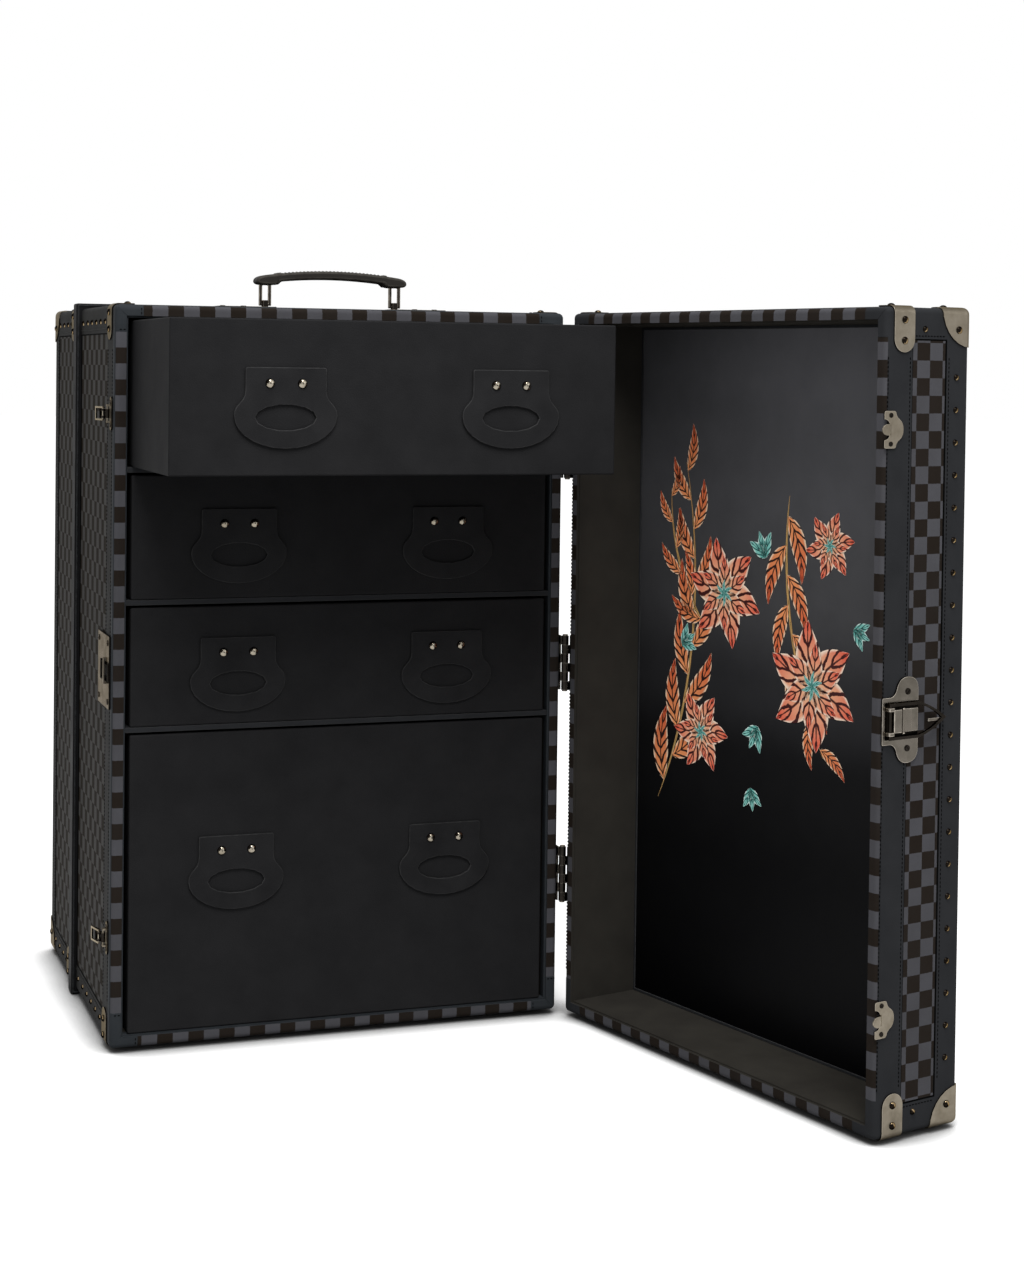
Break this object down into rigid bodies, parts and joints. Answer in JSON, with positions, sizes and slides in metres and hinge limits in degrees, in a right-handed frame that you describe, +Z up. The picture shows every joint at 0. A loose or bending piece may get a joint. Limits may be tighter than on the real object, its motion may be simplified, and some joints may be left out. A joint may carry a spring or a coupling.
{
  "type": "wardrobe trunk",
  "caption": "Upright wardrobe trunk with stacked drawers behind a tray-shaped side-hinged door, with a bail lock, draw catches and a top handle.",
  "frame": {"origin": "centre of the carcass's flat underside, which the glides lift off the floor", "axes": "+X to the trunk's right seen from the front, +Y from the front to the back, +Z up"},
  "size_m": [0.8141, 1.0211, 0.8977],
  "materials": {
    "checker_canvas": "coated canvas printed in small squares of two dark greys, over board",
    "leather": "dark grained leather",
    "drawer_leather": "dark matt leather over board",
    "lining": "dark matt lining",
    "nickel": "satin nickel plate, a little worn"
  },
  "bodies": {
    "trunk": {"front_frame": "checker_canvas", "cabinet_shell": "checker_canvas", "seam_band": "leather", "rear_shell": "checker_canvas", "shelf_1": "leather", "shelf_2": "leather", "shelf_3": "leather", "glide_1": "nickel", "glide_2": "nickel", "glide_3": "nickel", "glide_4": "nickel", "rear_cap_left_lower": "nickel", "rear_cap_left_upper": "nickel", "rear_cap_right_lower": "nickel", "rear_cap_right_upper": "nickel", "lock_strike": "nickel", "catch_base_upper": "nickel", "catch_base_lower": "nickel", "hinge_leaf_cabinet_upper": "nickel", "hinge_leaf_cabinet_middle": "nickel", "hinge_leaf_cabinet_lower": "nickel", "hinge_pin_upper": "nickel", "hinge_pin_middle": "nickel", "hinge_pin_lower": "nickel", "handle_base_left": "nickel", "handle_base_right": "nickel"},
    "door": {"door_shell": "checker_canvas", "door_panel": "lining", "door_cap_left_lower": "nickel", "door_cap_left_upper": "nickel", "door_cap_right_lower": "nickel", "door_cap_right_upper": "nickel", "lock_base": "nickel", "hook_plate_upper": "nickel", "hook_plate_lower": "nickel", "hinge_leaf_door_upper": "nickel", "hinge_leaf_door_middle": "nickel", "hinge_leaf_door_lower": "nickel"},
    "handle": {"handle_grip": "leather", "handle_link_left": "nickel", "handle_link_right": "nickel"},
    "bail": {"lock_bail": "nickel"},
    "lock_tongue": {"lock_lever": "nickel"},
    "drawer_1": {"drawer_1": "drawer_leather", "pull_1_left": "leather", "pull_1_right": "leather"},
    "drawer_2": {"drawer_2": "drawer_leather", "pull_2_left": "leather", "pull_2_right": "leather"},
    "drawer_3": {"drawer_3": "drawer_leather", "pull_3_left": "leather", "pull_3_right": "leather"},
    "drawer_4": {"drawer_4": "drawer_leather", "pull_4_left": "leather", "pull_4_right": "leather"},
    "catch_lever_upper": {"catch_lever_upper": "nickel"},
    "catch_loop_upper": {"catch_loop_upper": "nickel"},
    "catch_lever_lower": {"catch_lever_lower": "nickel"},
    "catch_loop_lower": {"catch_loop_lower": "nickel"}
  },
  "joints": [
    {"name": "door_hinge", "type": "hinge", "parent": "trunk", "child": "door", "pos_m": [0.2765, -0.241, 0.423], "axis": [0, 0, 1], "range_deg": [-104.6, 75.4]},
    {"name": "drawer_1_slide", "type": "slide", "parent": "trunk", "child": "drawer_1", "axis": [0, -1, 0], "range_m": [-0.219, 0.158]},
    {"name": "drawer_2_slide", "type": "slide", "parent": "trunk", "child": "drawer_2", "axis": [0, -1, 0], "range_m": [0, 0.377]},
    {"name": "drawer_3_slide", "type": "slide", "parent": "trunk", "child": "drawer_3", "axis": [0, -1, 0], "range_m": [0, 0.377]},
    {"name": "drawer_4_slide", "type": "slide", "parent": "trunk", "child": "drawer_4", "axis": [0, -1, 0], "range_m": [0, 0.377]},
    {"name": "handle_fold", "type": "hinge", "parent": "trunk", "child": "handle", "pos_m": [0, -0.159, 0.8514], "axis": [1, 0, 0], "range_deg": [-60, 60]},
    {"name": "bail_hinge", "type": "hinge", "parent": "door", "child": "bail", "pos_m": [0.4245, -0.77349, 0.427], "axis": [0, 0, -1], "range_deg": [0, 170]},
    {"name": "lock_tongue_hinge", "type": "hinge", "parent": "door", "child": "lock_tongue", "pos_m": [0.44195, -0.76905, 0.427], "axis": [0, 0, -1], "range_deg": [0, 80]},
    {"name": "catch_upper_lever_hinge", "type": "hinge", "parent": "trunk", "child": "catch_lever_upper", "pos_m": [-0.2753, -0.22, 0.722], "axis": [0, 0, -1], "range_deg": [-140, 8]},
    {"name": "catch_upper_loop_hinge", "type": "hinge", "parent": "catch_lever_upper", "child": "catch_loop_upper", "pos_m": [-0.27967, -0.21485, 0.722], "axis": [0, 0, 1], "range_deg": [0, 186]},
    {"name": "catch_lower_lever_hinge", "type": "hinge", "parent": "trunk", "child": "catch_lever_lower", "pos_m": [-0.2753, -0.22, 0.124], "axis": [0, 0, -1], "range_deg": [-140, 8]},
    {"name": "catch_lower_loop_hinge", "type": "hinge", "parent": "catch_lever_lower", "child": "catch_loop_lower", "pos_m": [-0.27967, -0.21485, 0.124], "axis": [0, 0, 1], "range_deg": [0, 186]}
  ],
  "couplings": [
    {"joint": "drawer_1_slide", "follows": "door_hinge", "m_per_rad": 0.11995}
  ]
}
